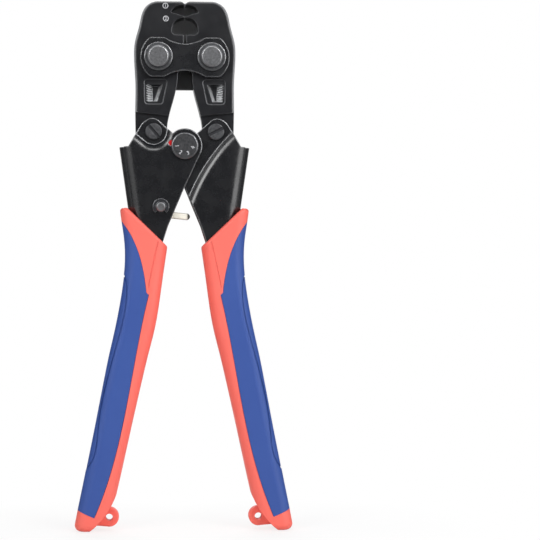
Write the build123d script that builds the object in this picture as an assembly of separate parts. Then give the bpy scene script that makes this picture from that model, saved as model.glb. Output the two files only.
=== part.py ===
"""Hand tool that pinches the ear of a cinch clamp ring, or cuts one off.

Two jaws on a pair of straps are closed by two long handles that cross at an adjustable centre pivot.
Millimetres. +Z runs up the tool to the jaws, -Y is the front, and the handle ends stand on Z = 0.
Front views are drawn as (x, z). The right half is drawn, and the left half is its mirror image.
"""

from build123d import *
from math import acos, atan2, cos, degrees, hypot, radians, sin, tan
import os

# Pivots
centre_height = 247.3
collar_drop = 40.0
tail_pin_rise = 9.2
jaw_pin_rise = 48.0
jaw_pin_spacing = 34.2
tail_pin_spacing = 40.0

# Running gaps
side_gap = 0.2
pin_gap = 0.05

# Jaws
jaw_thickness = 13.0
tail_thickness = 9.0
jaw_top_rise = 36.1
jaw_edge_round = 1.6
lip_gap = 0.5
lip_flat = 0.8
# Mouth: reaches are from the middle plane, and drops are below the jaw's top
nose_reach = 4.4
nose_bulge = (1.95, -0.6)
crimp_lip_drop = 2.5
crimp_roof = (5.5, -3.4)
crimp_reach = 8.9
crimp_end_drop = 7.3
crimp_floor = (4.45, -8.5)
cut_lip_drop = 10.4
cut_shoulder = (6.4, -13.2)
cut_reach = 8.2
cut_widest_drop = 18.0
cut_corner = (7.85, -20.75)
cut_floor_reach = 6.6
cut_floor_drop = 21.7
slit_gap = 1.8
slit_drop = 3.5
# Back of a jaw: shoulder from the pin across and the top down, flank from the pin, then from the tail pin
back_shoulder = ((-0.2, 0.0), (3.1, -0.5), (6.9, -2.6), (9.3, -5.6), (12.2, -15.9))
back_flank = ((15.0, 9.3), (15.5, 0.0), (14.6, -17.0))
back_tail = (11.8, 13.2)
# Inner edge below the strap, as reach and drop below the pin, then its end from the tail pin
jaw_inner = ((4.6, 10.5), (5.6, 20.5))
inner_tail = (-9.8, 9.8)
tail_outer_reach = 11.6
tail_inner_reach = 8.6
tail_end_radius = 9.6
tail_step_rise = 11.35
tail_step_fall = 2.1
# Pocket in the side of a jaw, from its pin: inner and outer reach at the top and at the bottom
pocket_top = (-6.0, 9.0, -14.4)
pocket_bottom = (-2.7, 8.6, -30.3)
pocket_corner = 2.0
pocket_rim_depth = 0.7
pocket_depth = 4.6
# Ledge inside the rim, then how far each side slopes in to the floor: inner, outer, top and bottom
pocket_ledge = (3.2, 1.7, 3.1, 1.6)
pocket_slope = (2.0, 3.5, 0.9, 0.8)
ripple_radius = 0.55
ripple_count = 7

# Straps: reaches are from a jaw pin, heights from the pins' height
strap_sheet = 3.5
strap_reach = 11.6
strap_top = 12.4
strap_bottom = 13.1
strap_flat = (-4.1, 5.3)
strap_waist_top = 8.2
strap_waist_bottom = 8.9
strap_waist_share = 0.28
strap_corner = 4.0
strap_edge_round = 0.4
tongue_half_width = 10.6
tongue_rise = 0.4
tongue_corner = 3.0
tab_half_width = 5.5
tab_drop = 19.8

# Jaw pins
jaw_pin_radius = 5.5
jaw_washer_radius = 9.2
jaw_washer_thickness = 1.4
jaw_head_radius = 6.9
jaw_head_height = 2.6
jaw_head_bevel = 0.9
jaw_washer_bevel = 0.4
jaw_nut_width = 15.0
jaw_nut_face_radius = 7.8
jaw_nut_crown = 8.0

# Tail screws
tail_screw_radius = 4.0
tail_head_radius = 5.25
tail_head_height = 2.0
screw_slot_width = 2.0
screw_slot_depth = 1.1
screw_head_bevel = 0.4
left_slot_angle = -49.0
right_slot_angle = 27.0
tail_nut_width = 9.6
tail_nut_height = 3.0

# Handle channels, from the centre pivot unless said otherwise
handle_sheet = 2.5
bend_radius = 9.4
front_disc_radius = 11.1
inner_disc_radius = 8.6
ear_foot = (8.0, 8.3)
# Ear, from the tail pin
ear_outline = ((-1.6, 8.6), (2.8, 8.6), (7.2, 5.6), (10.4, 0.3))
ear_round = 6.0
neck_corner = (36.1, -0.4)
shoulder_corner = (42.0, -0.9)
crotch = (0.3, -27.1)
throat = (10.6, -51.5)
collar_outer_reach = 36.4
channel_end = 62.0
# Joggles: the step between the two plate levels
joggle_round = 6.0
left_joggle_radius = 8.4
left_joggle_run = 3.0
left_joggle_wings = (231.0, 350.0)
right_joggle_run = 4.0
right_joggle_radius = 119.6
right_joggle_gap = 17.66
right_joggle_angle = -33.9
right_joggle_sweep = 83.0

# Centre pivot
dial_radius = 8.65
dial_thickness = 2.2
dial_bevel = 0.7
centre_journal_radius = 6.0
centre_core_radius = 5.0
eccentricity = 0.4
open_pivot_gap = 1.7
centre_washer_radius = 8.5
centre_washer_thickness = 1.4
lock_screw_radius = 2.5
lock_screw_depth = 9.0
lock_screw_tip_gap = 1.0
lock_head_radius = 5.0
lock_head_height = 2.4
index_dot_radius = 1.7
index_dot_depth = 0.6
index_dot_proud = 0.05
index_dot_place = (-8.7, 1.7)

# Ratchet: angles are from straight down, clockwise seen from the front
sector_tip_radius = 32.8
tooth_depth = 1.6
tooth_pitch = 4.1
tooth_count = 9
tooth_lean = 0.25
sector_back_angle = 12.0
first_tooth_angle = 38.0
runout_angle = 20.0
runout_radius = 29.6
sector_web_angle = -16.0
sector_web_radius = 23.5
rivet_radius = 2.0
rivet_places = ((-1.2, -19.0), (2.6, -12.8))

# Pawl
pawl_place = (-15.3, -39.3)
pawl_thickness = 8.0
pawl_hub_radius = 5.2
pawl_pin_radius = 3.0
pawl_pin_overhang = 2.1
pawl_pin_bevel = 0.5
nose_length = 10.05
nose_angle = 100.7
nose_tip_width = 1.6
nose_root_width = 6.5
lever_start = (2.9, -4.6)
lever_end = (16.7, -6.1)
lever_half_height = 2.1
lever_round = 1.0
clip_radius = 5.3
clip_band = 1.9
clip_thickness = 0.9
clip_groove_radius = 2.4
clip_mouth = 86.0
clip_lobe_width = 2.2
clip_lobe_angles = (-18.0, 90.0, 198.0)
spacer_radius = 4.6
spring_wire = 0.8
spring_coil_radius = 4.6
spring_turns = 1.75

# Grips, drawn at one length: height of a station, inner edge and outer edge there
drawn_grip_length = 207.3
grip_stations = (
    (212.0, 7.4, 41.3), (197.0, 9.2, 40.2), (180.0, 11.4, 38.3), (160.0, 14.3, 39.4), (140.0, 17.1, 42.6),
    (115.0, 22.7, 48.0), (90.0, 28.6, 53.0), (65.0, 34.2, 57.8), (42.0, 39.2, 62.4), (20.0, 44.2, 66.9),
    (-2.0, 49.2, 71.1),
)
grip_depth = 26.0
grip_corner = 7.0
grip_outer_wall = 4.2
grip_inner_wall = 4.3
sleeve_gap = 0.1
collar_reach = (11.2, 36.8)
collar_fall = 24.6
collar_round = 2.0
cap_round = 4.0
heel_curve = ((40.2, 36.0), (45.6, 18.4), (60.7, 0.0))
tab_place = (48.0, 8.4)
tab_radius = 6.15
tab_thickness = 8.0
tab_root = ((-1.0, 6.0), (14.0, 8.0), (13.0, -5.0), (1.0, -6.0))
tab_round = 1.0
lanyard_radius = 2.3
cover_thickness = 1.3
cover_gap = 0.2
cover_gap_lean = 0.8
cover_start = (60.0, 228.6)
cover_upper = ((40.5, 198.8), (31.1, 182.9), (27.0, 169.9), (24.4, 153.0))
cover_notch = (22.9, 151.4)
cover_lower = ((34.9, 90.7), (48.3, 33.1), (57.3, 9.0))
cover_foot = (68.5, 14.0)
cover_foot_far = (98.5, 27.0)
# Sunk outer strip of the soft cover, and a crease in the hard sleeve above its notch
pad_edge = (
    (42.0, 167.4), (36.8, 159.8), (36.4, 154.6), (42.8, 119.7), (54.6, 65.1), (57.6, 47.1), (64.0, 38.2),
)
pad_depth = 0.15
pad_groove_width = 0.8
pad_groove_depth = 0.6
crease_line = ((17.0, 185.6), (19.0, 177.2), (22.4, 161.4), (23.2, 156.0))
crease_width = 0.7
crease_depth = 0.3

# Places worked out from the sizes above
grip_length = centre_height - collar_drop
jaw_x = jaw_pin_spacing / 2
tail_x = tail_pin_spacing / 2
tail_z = centre_height + tail_pin_rise
jaw_z = tail_z + jaw_pin_rise
jaw_top = jaw_z + jaw_top_rise
jaw_half = jaw_thickness / 2
tail_half = tail_thickness / 2
ear_inner = tail_half + side_gap
ear_outer = ear_inner + handle_sheet
plate_inner = ear_outer + side_gap
plate_outer = plate_inner + handle_sheet
strap_inner = jaw_half + side_gap
strap_outer = strap_inner + strap_sheet
pawl_x = pawl_place[0]
pawl_z = centre_height + pawl_place[1]
FAR = 400.0


def at_depth(depth):
    """Plane of a front view at a depth."""
    return Plane(origin=(0, depth, 0), x_dir=(1, 0, 0), z_dir=(0, -1, 0))


def slab(profile, front, back):
    """Solid of a front-view profile between two depths."""
    return extrude(at_depth(back) * profile, back - front)


def disc(x, z, radius):
    return Pos(x, z) * Circle(radius)


def drum(x, z, radius, front, back):
    return slab(disc(x, z, radius), front, back)


def hexagon(x, z, width):
    return Pos(x, z) * RegularPolygon(width / 2, 6, major_radius=False)


def polygon(*points):
    return make_face(Polyline(*points, close=True))


def polar(x, z, radius, angle):
    return (x + radius * cos(radians(angle)), z + radius * sin(radians(angle)))


def from_pin(x, z, points):
    return [(x + dx, z + dz) for dx, dz in points]


def left_of(solid):
    """The mirror image on the left half."""
    return mirror(solid, about=Plane.YZ)


def front_and_back(solid):
    """A piece in front of the middle plane, with its mirror image behind."""
    return solid + mirror(solid, about=Plane.XZ)


# Jaws
def jaw_back_curve():
    """Back of a jaw from its top down past the tail pin."""
    shoulder = from_pin(jaw_x, jaw_top, back_shoulder)
    flank = from_pin(jaw_x, jaw_z, back_flank)
    below = (tail_outer_reach, -2 * tail_end_radius)
    tail = from_pin(tail_x, tail_z, [back_tail, (tail_outer_reach, 0), below])
    return [*shoulder, *flank, *tail]


def jaw_profile():
    """Mouth, inner edge and tail end of a jaw. It is open to the back, which the rounded block closes."""
    lip = lip_gap / 2
    flat = lip_flat / 2
    slit = slit_gap / 2
    crimp_lip = jaw_top - crimp_lip_drop
    cut_lip = jaw_top - cut_lip_drop
    cut_floor = jaw_top - cut_floor_drop
    bulge, roof, floor, shoulder, corner = from_pin(
        0, jaw_top, [nose_bulge, crimp_roof, crimp_floor, cut_shoulder, cut_corner])
    nose = (nose_reach, jaw_top)
    crimp_end = (crimp_reach, jaw_top - crimp_end_drop)
    cut_widest = (cut_reach, jaw_top - cut_widest_drop)
    tail_side, tail_low, tail_inside, inner_end = from_pin(
        tail_x, tail_z, [(tail_outer_reach, 0), (0, -tail_end_radius), (-tail_inner_reach, 0), inner_tail])
    inner = [inner_end, *[(reach, jaw_z - drop) for reach, drop in reversed(jaw_inner)]]
    slit_foot = (slit, jaw_z - slit_drop)
    return make_face([
        ThreePointArc((lip, crimp_lip + flat), bulge, nose),
        Polyline(nose, (nose_reach, FAR), (FAR, FAR), (FAR, tail_z), tail_side),
        ThreePointArc(tail_side, tail_low, tail_inside),
        Spline(tail_inside, *inner),
        Polyline(inner[-1], slit_foot, (slit, cut_floor), (cut_floor_reach, cut_floor)),
        ThreePointArc((cut_floor_reach, cut_floor), corner, cut_widest),
        ThreePointArc(cut_widest, shoulder, (lip, cut_lip - flat)),
        Line((lip, cut_lip - flat), (lip, cut_lip + flat)),
        ThreePointArc((lip, cut_lip + flat), floor, crimp_end),
        ThreePointArc(crimp_end, roof, (lip, crimp_lip - flat)),
        Line((lip, crimp_lip - flat), (lip, crimp_lip + flat)),
    ])


def rounded_back():
    """Block behind the whole jaw whose top and back edges are rounded."""
    curve = jaw_back_curve()
    inside = -jaw_x
    outline = make_face([
        Line((inside, jaw_top), curve[0]),
        Spline(*curve),
        Polyline(curve[-1], (inside, curve[-1][1]), (inside, jaw_top)),
    ])
    block = slab(outline, -jaw_half, jaw_half)
    rims = block.edges().filter_by(lambda e: abs(abs(e.center().Y) - jaw_half) < 0.01)
    rims = rims.filter_by(lambda e: e.center().X > jaw_x or e.center().Z > jaw_top - 0.01)
    return fillet(rims, jaw_edge_round)


def pocket_corners(inner, outer, top, bottom):
    """Corners of the pocket's outline, drawn in from its rim on each side."""
    top_in, top_out, high = pocket_top
    low_in, low_out, low = pocket_bottom
    corners = [(top_in + inner, high - top), (top_out - outer, high - top),
               (low_out - outer, low + bottom), (low_in + inner, low + bottom)]
    return from_pin(jaw_x, jaw_z, corners)


def jaw_pocket():
    """Pocket in the front face: a shallow rim, then sloping sides, with ripples down the outer one."""
    rim_face = polygon(*pocket_corners(0, 0, 0, 0))
    rim = slab(fillet(rim_face.vertices(), pocket_corner), -jaw_half, -jaw_half + pocket_rim_depth)
    mouth = pocket_corners(*pocket_ledge)
    floor = pocket_corners(*[ledge + slope for ledge, slope in zip(pocket_ledge, pocket_slope)])
    lip_depth = -jaw_half + pocket_rim_depth / 2
    floor_depth = -jaw_half + pocket_depth
    levels = [at_depth(lip_depth) * polygon(*mouth), at_depth(floor_depth) * polygon(*floor)]
    pocket = rim + loft(levels, ruled=True)
    for step in range(ripple_count):
        share = (step + 0.5) / ripple_count
        high, low = ([a + share * (b - a) for a, b in zip(edge[1], edge[2])] for edge in (mouth, floor))
        start, end = Vector(high[0], lip_depth, high[1]), Vector(low[0], floor_depth, low[1])
        groove = Cylinder(ripple_radius, (end - start).length)
        pocket += Plane(origin=(start + end) / 2, z_dir=end - start) * groove
    return pocket


def right_jaw():
    blank = rounded_back() & slab(jaw_profile(), -jaw_half, jaw_half)
    slope = tail_step_fall / (tail_outer_reach + tail_inner_reach)
    step_middle = tail_z + tail_step_rise
    below_step = polygon((tail_x + FAR, step_middle + slope * FAR), (tail_x - FAR, step_middle - slope * FAR),
                         (tail_x - FAR, -FAR), (tail_x + FAR, -FAR))
    blank -= front_and_back(slab(below_step, -2 * jaw_half, -tail_half))
    blank -= front_and_back(jaw_pocket())
    blank -= drum(jaw_x, jaw_z, jaw_pin_radius + pin_gap, -jaw_half, jaw_half)
    blank -= drum(tail_x, tail_z, tail_screw_radius + pin_gap, -jaw_half, jaw_half)
    return blank


# Straps and jaw pins
def strap_profile():
    near, far = (jaw_x + reach for reach in strap_flat)
    high, low = strap_top, -strap_bottom
    upper = (near / 2, strap_waist_top + strap_waist_share * (high - strap_waist_top))
    lower = (near / 2, -strap_waist_bottom + strap_waist_share * (low + strap_waist_bottom))
    half = [
        ThreePointArc((0, strap_waist_top), upper, (near, high)),
        Line((near, high), (far, high)),
        ThreePointArc((far, high), (jaw_x + strap_reach, 0), (far, low)),
        Line((far, low), (near, low)),
        ThreePointArc((near, low), lower, (0, -strap_waist_bottom)),
        Line((0, -strap_waist_bottom), (0, strap_waist_top)),
    ]
    right = make_face(half)
    right = fillet(right.vertices().filter_by(lambda v: v.X > 1), strap_corner)
    return Pos(0, jaw_z) * (right + mirror(right, about=Plane.YZ))


def jaw_pin_places():
    return ((-jaw_x, jaw_z), (jaw_x, jaw_z))


def pin_holes(solid):
    for x, z in jaw_pin_places():
        solid -= drum(x, z, jaw_pin_radius + pin_gap, -FAR, FAR)
    return solid


def front_strap():
    plate = slab(strap_profile(), -strap_outer, -strap_inner)
    front_edges = plate.edges().filter_by(lambda e: abs(e.center().Y + strap_outer) < 0.01)
    return pin_holes(fillet(front_edges, strap_edge_round))


def rear_strap():
    tip = jaw_top + tongue_rise
    tongue = polygon((-tongue_half_width, jaw_z), (tongue_half_width, jaw_z),
                     (tongue_half_width, tip), (-tongue_half_width, tip))
    upper = tongue.vertices().filter_by(lambda v: v.Y > jaw_z + tongue_corner)
    tongue = fillet(upper, tongue_corner)
    tab = Pos(0, jaw_z) * polygon((-tab_half_width, 0), (tab_half_width, 0),
                                  (tab_half_width, -tab_drop), (-tab_half_width, -tab_drop))
    return pin_holes(slab(strap_profile() + tongue + tab, strap_inner, strap_outer))


def jaw_pin(x, z):
    washer_face = -strap_outer - jaw_washer_thickness
    shank = drum(x, z, jaw_pin_radius, washer_face, strap_outer + jaw_washer_thickness + jaw_head_height)
    head = drum(x, z, jaw_head_radius, washer_face - jaw_head_height, washer_face)
    rim = head.edges().filter_by(lambda e: abs(e.center().Y - washer_face + jaw_head_height) < 0.01)
    return chamfer(rim, jaw_head_bevel) + shank


def jaw_washer(x, z):
    front = -strap_outer - jaw_washer_thickness
    ring = drum(x, z, jaw_washer_radius, front, -strap_outer)
    rim = ring.edges().filter_by(lambda e: abs(e.center().Y - front) < 0.01)
    ring = chamfer(rim, jaw_washer_bevel)
    return ring - drum(x, z, jaw_pin_radius + pin_gap, front, -strap_outer)


def jaw_nut(x, z):
    height = jaw_washer_thickness + jaw_head_height
    nut = slab(hexagon(x, z, jaw_nut_width), strap_outer, strap_outer + height)
    seat = (Align.CENTER, Align.CENTER, Align.MIN)
    crown = Cone(jaw_nut_face_radius, jaw_nut_face_radius + jaw_nut_crown, height, align=seat)
    rounded = Pos(x, strap_outer + height, z) * Rot(90, 0, 0) * crown
    return (nut & rounded) - drum(x, z, jaw_pin_radius + pin_gap, strap_outer, strap_outer + height)


# Tail screws
def tail_screw(side, slot_angle):
    x = side * tail_x
    face = -ear_outer - tail_head_height
    head = drum(x, tail_z, tail_head_radius, face, -ear_outer)
    rim = head.edges().filter_by(lambda e: abs(e.center().Y - face) < 0.01)
    head = chamfer(rim, screw_head_bevel)
    slot = Pos(x, tail_z) * Rot(0, 0, slot_angle) * Rectangle(FAR, screw_slot_width)
    head -= slab(slot, face, face + screw_slot_depth)
    return head + drum(x, tail_z, tail_screw_radius, -ear_outer, ear_outer + tail_nut_height)


def tail_nut(side):
    x = side * tail_x
    back = ear_outer + tail_nut_height
    nut = slab(hexagon(x, tail_z, tail_nut_width), ear_outer, back)
    return nut - drum(x, tail_z, tail_screw_radius + pin_gap, ear_outer, back)


# Handle channels
def stretched(height):
    """Height on the grip as built, from its height on the grip as drawn."""
    return height * grip_length / drawn_grip_length


def on_grip(points):
    return [(x, stretched(z)) for x, z in points]


def collar_outer_edge():
    return (collar_outer_reach, -collar_drop)


def grip_edges():
    """Steel edges inside the grip: the outer edge going down and the inner edge going up again."""
    inside = [s for s in grip_stations if channel_end <= s[0] <= drawn_grip_length - collar_fall]
    outer = [(x_out - grip_outer_wall, stretched(z)) for z, x_in, x_out in inside]
    inner = [(x_in + grip_inner_wall, stretched(z)) for z, x_in, x_out in reversed(inside)]
    return outer, inner


def handle_profile(disc_radius):
    """Front view of a right-hand channel with its disc round the centre pivot."""
    outer, inner = grip_edges()
    upper = from_pin(0, centre_height, [ear_foot])
    ear = from_pin(tail_x, tail_z, ear_outline)
    side = from_pin(0, centre_height, [neck_corner, shoulder_corner, collar_outer_edge()])
    throat_edge, fork = from_pin(0, centre_height, [throat, crotch])
    main = polygon((0, centre_height), *upper, *ear, *side, *outer, *inner, throat_edge, fork)
    arch = main.vertices().filter_by(lambda v: min(hypot(v.X - x, v.Y - z) for x, z in ear[:-1]) < 0.01)
    main = fillet(arch, ear_round)
    reach = hypot(*crotch)
    touch = degrees(atan2(crotch[1], crotch[0]) - acos(disc_radius / reach))
    flank = polygon((0, centre_height), fork, polar(0, centre_height, disc_radius, touch))
    return main + flank + disc(0, centre_height, disc_radius)


def hollow_profile():
    """The room inside the channel: open on the inner side and round the ears, closed by the web outside."""
    outer, inner = grip_edges()
    shoulder, collar = from_pin(0, centre_height, [shoulder_corner, collar_outer_edge()])
    web = [(x - handle_sheet, z) for x, z in [shoulder, collar, *outer]]
    low = web[-1]
    return polygon((-FAR, shoulder[1] + FAR), (FAR, shoulder[1] + FAR), (FAR, shoulder[1]), *web,
                   (low[0], low[1] - FAR), (-FAR, low[1] - FAR))


def left_ear_zone(grow):
    """Sunk zone round the tail pin of the left-hand handle, drawn on the right half."""
    radius = left_joggle_radius + grow
    near, far = (180 - angle for angle in left_joggle_wings)
    start = polar(tail_x, tail_z, radius, near)
    middle = polar(tail_x, tail_z, radius, (near + far) / 2)
    end = polar(tail_x, tail_z, radius, far)
    start_far = polar(*start, FAR, near + 90)
    end_far = polar(*end, FAR, far - 90)
    return make_face([ThreePointArc(start, middle, end), Polyline(end, end_far, start_far, start)])


def right_ear_zone(grow):
    """Sunk zone of the right-hand handle, above a shallow arc."""
    x, z = polar(0, centre_height, right_joggle_gap + right_joggle_radius, right_joggle_angle)
    radius = right_joggle_radius - grow
    middle_angle, half = 180 + right_joggle_angle, right_joggle_sweep / 2
    start, middle, end = (polar(x, z, radius, middle_angle + turn) for turn in (-half, 0, half))
    low_far, high_far = (end[0] - FAR, end[1]), (end[0] - FAR, start[1])
    return make_face([ThreePointArc(start, middle, end), Polyline(end, low_far, high_far, start)])


def sunk_zone(zone, run, level, shift):
    """Room above the sunk plates, front and back, sloping up from a level to the raised plates."""
    rise = plate_outer - ear_outer
    bottom = at_depth(-level) * zone(shift)
    top = at_depth(-level - rise) * zone(shift + run)
    return front_and_back(loft([bottom, top], ruled=True))


def joggle_rims(block):
    """Upper edges of the pressed slopes, front and back."""
    slopes = block.faces().filter_by(lambda f: 0.1 < abs(f.normal_at(f.center()).Y) < 0.95)
    slopes = slopes.filter_by(lambda f: f.geom_type != GeomType.CYLINDER)
    return slopes.edges().filter_by(lambda e: abs(abs(e.center().Y) - plate_outer) < 0.01)


def channel(disc_radius, zone, run):
    """Folded sheet: a web outside, two plates that are raised below and sunk round the tail pin."""
    rise = plate_outer - ear_outer
    shift = handle_sheet * tan(atan2(rise, run) / 2)
    block = slab(handle_profile(disc_radius), -plate_outer, plate_outer)
    outer, inner = grip_edges()
    web_line = [*from_pin(0, centre_height, [shoulder_corner, collar_outer_edge()]), *outer]
    middles = [((a[0] + b[0]) / 2, (a[1] + b[1]) / 2) for a, b in zip(web_line, web_line[1:])]

    def bends(solid, shrink):
        """Edges along the web, at the plates' outside or, shrunk by the sheet, at their inside."""
        def on_web(edge):
            at = edge.center()
            away = min(hypot(at.X + shrink - x, at.Z - z) for x, z in middles)
            return away < 0.1 and abs(abs(at.Y) - plate_outer + shrink) < 0.01
        return solid.edges().filter_by(on_web)

    block = fillet(bends(block, 0), bend_radius) - sunk_zone(zone, run, ear_outer, 0)
    block = fillet(joggle_rims(block), joggle_round)
    room = slab(hollow_profile(), -plate_inner, plate_inner)
    room = fillet(bends(room, handle_sheet), bend_radius - handle_sheet)
    return block - (room - sunk_zone(zone, run, ear_inner, shift))


def tail_holes(solid):
    return solid - drum(tail_x, tail_z, tail_screw_radius + pin_gap, -FAR, FAR)


def left_handle_frame():
    frame = left_of(tail_holes(channel(front_disc_radius, left_ear_zone, left_joggle_run)))
    frame -= drum(0, centre_height, centre_journal_radius + pin_gap, -FAR, FAR)
    frame -= drum(pawl_x, pawl_z, pawl_pin_radius + pin_gap, -FAR, FAR)
    return frame - index_dot(0)


def right_handle_frame():
    frame = tail_holes(channel(inner_disc_radius, right_ear_zone, right_joggle_run))
    frame -= drum(0, centre_height, centre_core_radius + open_pivot_gap, -FAR, FAR)
    for x, z in from_pin(0, centre_height, rivet_places):
        frame -= drum(x, z, rivet_radius + pin_gap, -FAR, FAR)
    return frame


# Centre pivot
def index_dot(proud):
    x, z = from_pin(0, centre_height, [index_dot_place])[0]
    return drum(x, z, index_dot_radius, -plate_outer - proud, -plate_outer + index_dot_depth)


def adjusting_dial():
    back = -plate_outer - side_gap
    front = back - dial_thickness
    face = drum(0, centre_height, dial_radius, front, back)
    rim = face.edges().filter_by(lambda e: abs(e.center().Y - front) < 0.01)
    socket = drum(0, centre_height, lock_head_radius, back - dial_thickness / 2, back)
    return chamfer(rim, dial_bevel) - socket


def centre_pin():
    dial_back = -plate_outer - side_gap
    front = drum(0, centre_height, lock_head_radius, dial_back - dial_thickness / 2, dial_back)
    front += drum(0, centre_height, centre_journal_radius, dial_back, -plate_inner)
    core = drum(0, centre_height - eccentricity, centre_core_radius, -plate_inner, plate_inner)
    rear = drum(0, centre_height, centre_journal_radius, plate_inner, plate_outer)
    thread = drum(0, centre_height, lock_screw_radius, plate_outer - lock_screw_depth, FAR)
    return front + core + rear - thread


def centre_washer():
    front = plate_outer + side_gap / 2
    ring = drum(0, centre_height, centre_washer_radius, front, front + centre_washer_thickness)
    return ring - drum(0, centre_height, lock_screw_radius + pin_gap, front, front + centre_washer_thickness)


def centre_lock_screw():
    seat = plate_outer + side_gap / 2 + centre_washer_thickness
    head = drum(0, centre_height, lock_head_radius, seat, seat + lock_head_height)
    rim = head.edges().filter_by(lambda e: abs(e.center().Y - seat - lock_head_height) < 0.01)
    head = chamfer(rim, screw_head_bevel)
    slot = Pos(0, centre_height) * Rectangle(FAR, screw_slot_width)
    head -= slab(slot, seat + lock_head_height - screw_slot_depth, seat + lock_head_height)
    tip = plate_outer - lock_screw_depth + lock_screw_tip_gap
    return head + drum(0, centre_height, lock_screw_radius, tip, seat)


# Ratchet
def down_angle(radius, angle):
    """Point at an angle from straight down, clockwise seen from the front, about the centre pivot."""
    return polar(0, centre_height, radius, -90 - angle)


def ratchet_sector():
    root = sector_tip_radius - tooth_depth
    edge = [down_angle(runout_radius, runout_angle), down_angle(runout_radius, first_tooth_angle)]
    for tooth in range(tooth_count):
        angle = first_tooth_angle + tooth * tooth_pitch
        edge.append(down_angle(root, angle))
        edge.append(down_angle(sector_tip_radius, angle + tooth_lean * tooth_pitch))
    last = first_tooth_angle + tooth_count * tooth_pitch
    edge.append(down_angle(root, last))
    web = [down_angle(sector_web_radius, sector_web_angle), down_angle(sector_web_radius, runout_angle)]
    fan = polygon((0, centre_height), *web, *edge, down_angle(inner_disc_radius, last + sector_back_angle))
    plate = fan + disc(0, centre_height, inner_disc_radius)
    solid = slab(plate, -ear_inner, ear_inner)
    solid -= drum(0, centre_height, centre_core_radius + open_pivot_gap, -FAR, FAR)
    for x, z in from_pin(0, centre_height, rivet_places):
        solid -= drum(x, z, rivet_radius + pin_gap, -FAR, FAR)
    return solid


def sector_rivet(x, z):
    return drum(x, z, rivet_radius, -ear_outer, ear_outer)


def release_pawl():
    """Pawl nose towards the sector, and a lever that reaches out between the handles."""
    tip = polar(pawl_x, pawl_z, nose_length, nose_angle)
    across = nose_angle - 90
    nose = polygon(polar(pawl_x, pawl_z, nose_root_width / 2, across + 180),
                   polar(*tip, nose_tip_width / 2, across + 180), polar(*tip, nose_tip_width / 2, across),
                   polar(pawl_x, pawl_z, nose_root_width / 2, across))
    half = pawl_thickness / 2
    start, end = from_pin(pawl_x, pawl_z, [lever_start, lever_end])
    body = slab(disc(pawl_x, pawl_z, pawl_hub_radius) + nose, -half, half)
    lean = degrees(atan2(end[1] - start[1], end[0] - start[0]))
    middle = ((start[0] + end[0]) / 2, (start[1] + end[1]) / 2)
    length = hypot(end[0] - start[0], end[1] - start[1]) + 2 * lever_half_height
    arm = Pos(*middle) * Rot(0, 0, lean) * SlotOverall(length, 2 * lever_half_height)
    lever = slab(arm, -half, half)
    lever = fillet(lever.edges().filter_by(lambda e: abs(abs(e.center().Y) - half) < 0.01), lever_round)
    return body + lever - drum(pawl_x, pawl_z, pawl_pin_radius + pin_gap, -half, half)


def clip_seat():
    return plate_outer + side_gap / 2


def pawl_pin():
    reach = plate_outer + pawl_pin_overhang
    pin = drum(pawl_x, pawl_z, pawl_pin_radius, -reach, reach)
    pin = chamfer(pin.edges().filter_by(lambda e: abs(abs(e.center().Y) - reach) < 0.01), pawl_pin_bevel)
    groove = disc(pawl_x, pawl_z, pawl_pin_radius) - disc(pawl_x, pawl_z, clip_groove_radius)
    return pin - front_and_back(slab(groove, -clip_seat() - clip_thickness, -clip_seat()))


def pawl_clip(front):
    """E-clip: a ring with an open mouth below and three lobes that reach into the groove."""
    ring = disc(0, 0, clip_radius) - disc(0, 0, clip_radius - clip_band)
    half = clip_mouth / 2
    mouth = polygon((0, 0), polar(0, 0, FAR, -90 - half), polar(0, 0, FAR, -90 + half))
    ring -= mouth
    for angle in clip_lobe_angles:
        lobe = Rot(0, 0, angle) * Pos(clip_radius / 2, 0) * Rectangle(clip_radius, clip_lobe_width)
        ring += lobe & disc(0, 0, clip_radius - clip_band / 2)
    ring -= disc(0, 0, clip_groove_radius)
    return slab(Pos(pawl_x, pawl_z) * ring, front, front + clip_thickness)


def pawl_spacer():
    front, back = -plate_inner + side_gap / 2, -pawl_thickness / 2 - side_gap / 2
    tube = drum(pawl_x, pawl_z, spacer_radius, front, back)
    return tube - drum(pawl_x, pawl_z, pawl_pin_radius + pin_gap, front, back)


def pawl_spring():
    """Torsion spring beside the pawl, wound round its pin."""
    start = pawl_thickness / 2 + side_gap + spring_wire / 2
    length = plate_inner - side_gap - spring_wire / 2 - start
    coil = Helix(length / spring_turns, length, spring_coil_radius)
    section = Plane(origin=coil @ 0, z_dir=coil % 0) * Circle(spring_wire / 2)
    wound = sweep(section, path=coil)
    share = 1 / spring_turns
    steps = [step * (1 - share) / 12 for step in range(13)]
    gap = min((coil @ step - coil @ (step + share)).length for step in steps) - spring_wire
    print("pawl spring, least gap between turns:", round(gap, 3))
    return Pos(pawl_x, start, pawl_z) * Rot(-90, 0, 0) * wound


# Grips
def grip_form(inset):
    """Right-hand grip as a smooth stack of rounded sections, drawn in by an inset."""
    sections = []
    for z, x_in, x_out in grip_stations:
        width = x_out - x_in - 2 * inset
        section = RectangleRounded(width, grip_depth - 2 * inset, grip_corner - inset)
        sections.append(Pos((x_in + x_out) / 2, 0, stretched(z)) * section)
    return loft(sections)


def grip_silhouette():
    """Front view that trims the stack: slanting collar above, flat end and curved heel below."""
    low, high = collar_reach
    slope = collar_fall / (high - low)
    collar_inside = (0, grip_length - slope * high)
    heel_top, heel_middle, heel_foot = on_grip(heel_curve)
    return make_face([
        Polyline(heel_foot, (FAR, 0), (FAR, grip_length), (high, grip_length), collar_inside,
                 (0, heel_top[1]), heel_top),
        ThreePointArc(heel_top, heel_middle, heel_foot),
    ])


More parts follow.
